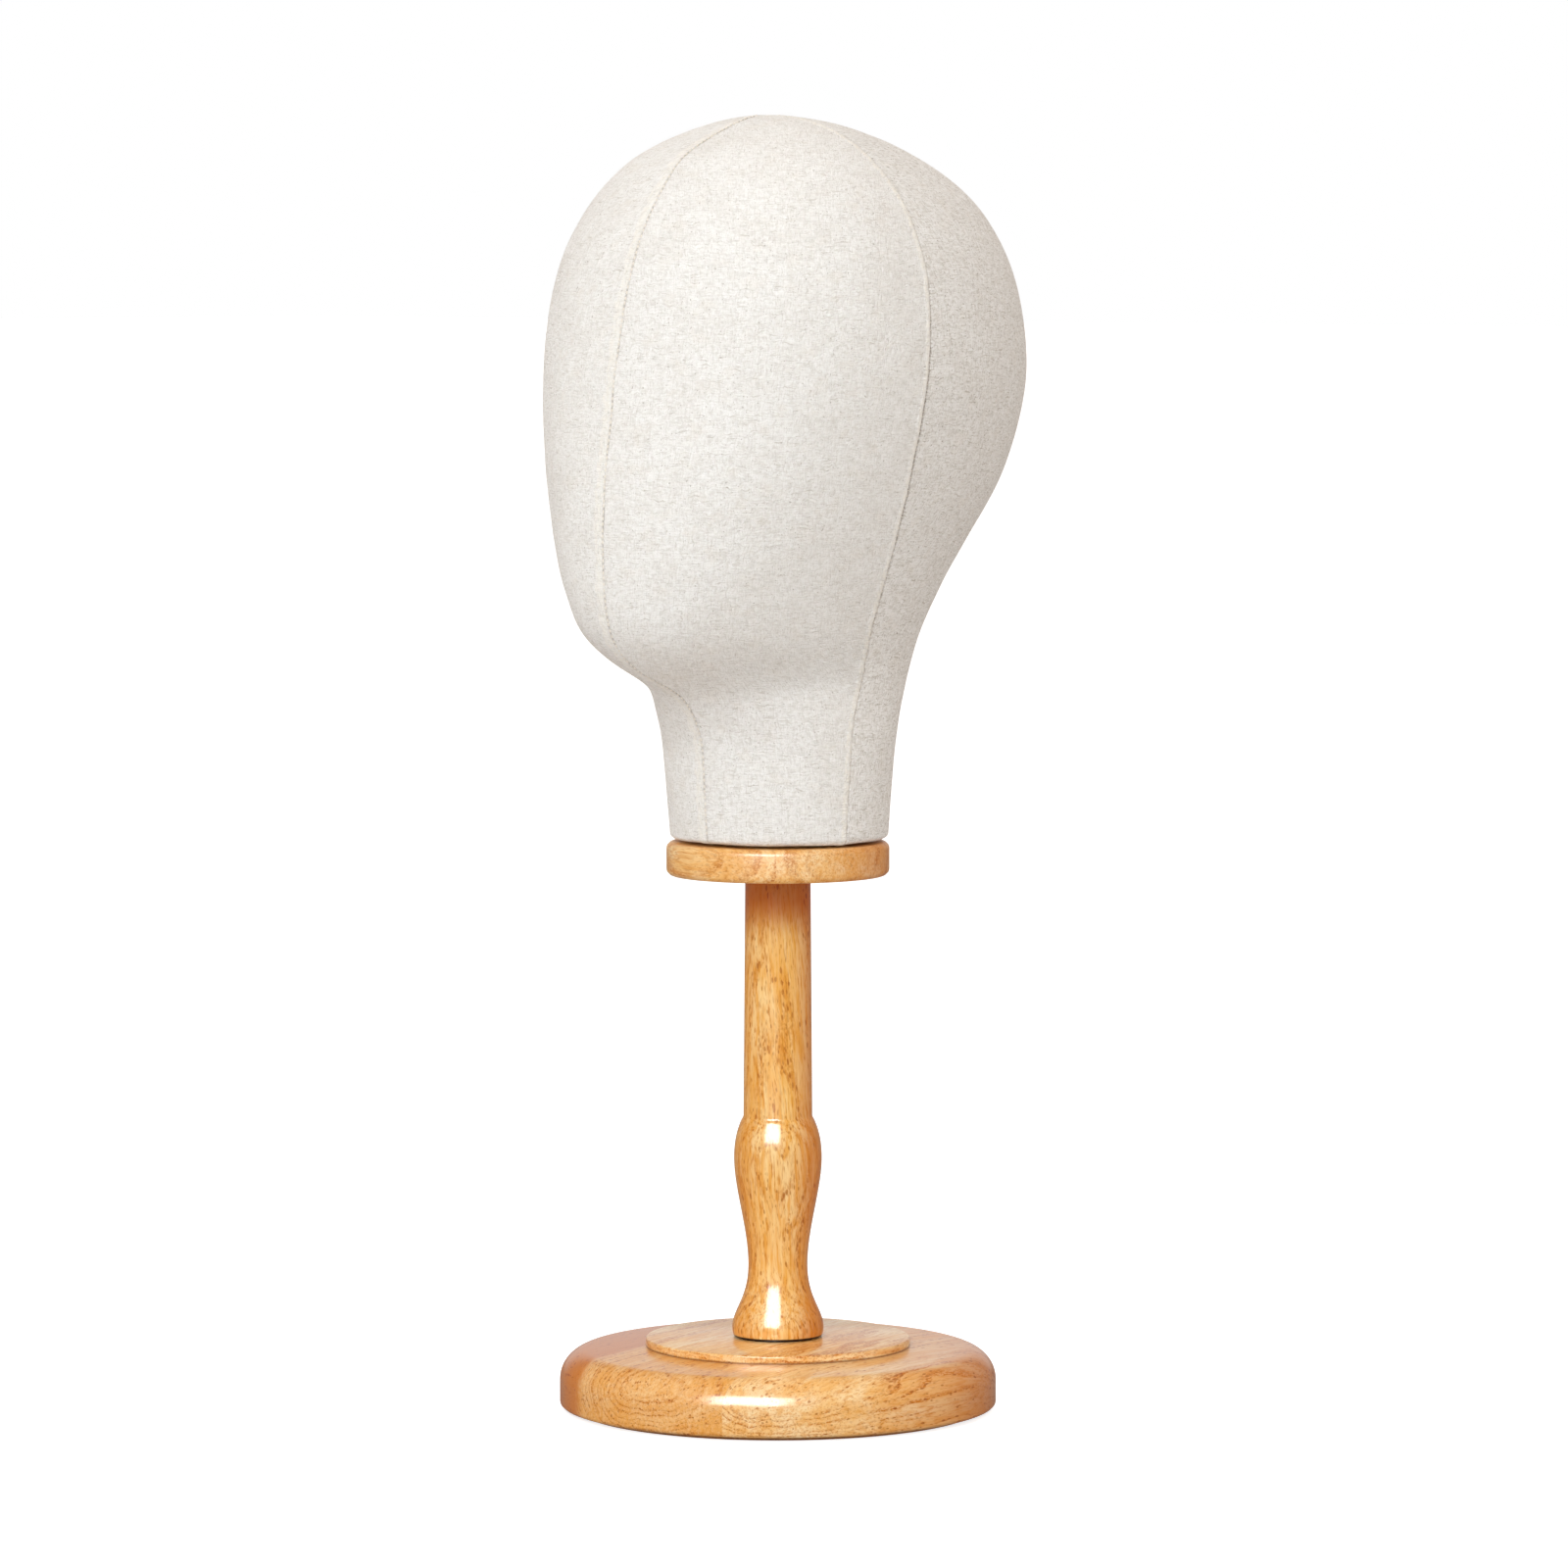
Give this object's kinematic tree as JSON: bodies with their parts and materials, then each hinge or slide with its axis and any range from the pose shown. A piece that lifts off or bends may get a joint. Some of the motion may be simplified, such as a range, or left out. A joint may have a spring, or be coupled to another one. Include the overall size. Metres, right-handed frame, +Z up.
{
  "type": "mannequin head stand",
  "caption": "Display head with a seamed linen cover on a wooden neck disc, on a turned wooden pole over a round wooden base; the head turns on the pole.",
  "frame": {"origin": "centre of the underside of the felt under the base, on the pole's axis", "axes": "+Z up along the pole, the face looks along -Y, the mannequin's own left is +X"},
  "size_m": [0.165, 0.2119, 0.4875],
  "materials": {
    "lacquered_wood": "clear gloss lacquer over honey-coloured wood",
    "bare_wood": "bare sanded wood",
    "linen": "natural undyed plain weave",
    "head_filling": "firm foam, hidden",
    "felt": "pressed wool felt",
    "steel": "zinc plated",
    "brass": "turned"
  },
  "bodies": {
    "stand": {"base_felt": "felt", "base_plate": "lacquered_wood", "base_washer": "steel", "base_bolt": "steel", "base_riser": "lacquered_wood", "pole": "lacquered_wood", "pole_insert": "brass", "hanger_bolt": "steel"},
    "head": {"neck_disc": "lacquered_wood", "neck_plug": "bare_wood", "neck_insert": "brass", "disc_screw_1": "steel", "disc_screw_2": "steel", "disc_screw_3": "steel", "head_core": "head_filling", "linen_front_left": "linen", "linen_back_left": "linen", "linen_back_right": "linen", "linen_front_right": "linen"}
  },
  "joints": [
    {"name": "head_swivel", "type": "hinge", "parent": "stand", "child": "head", "pos_m": [0, 0, 0.2022], "axis": [0, 0, 1], "range_deg": [-180, 180]}
  ]
}
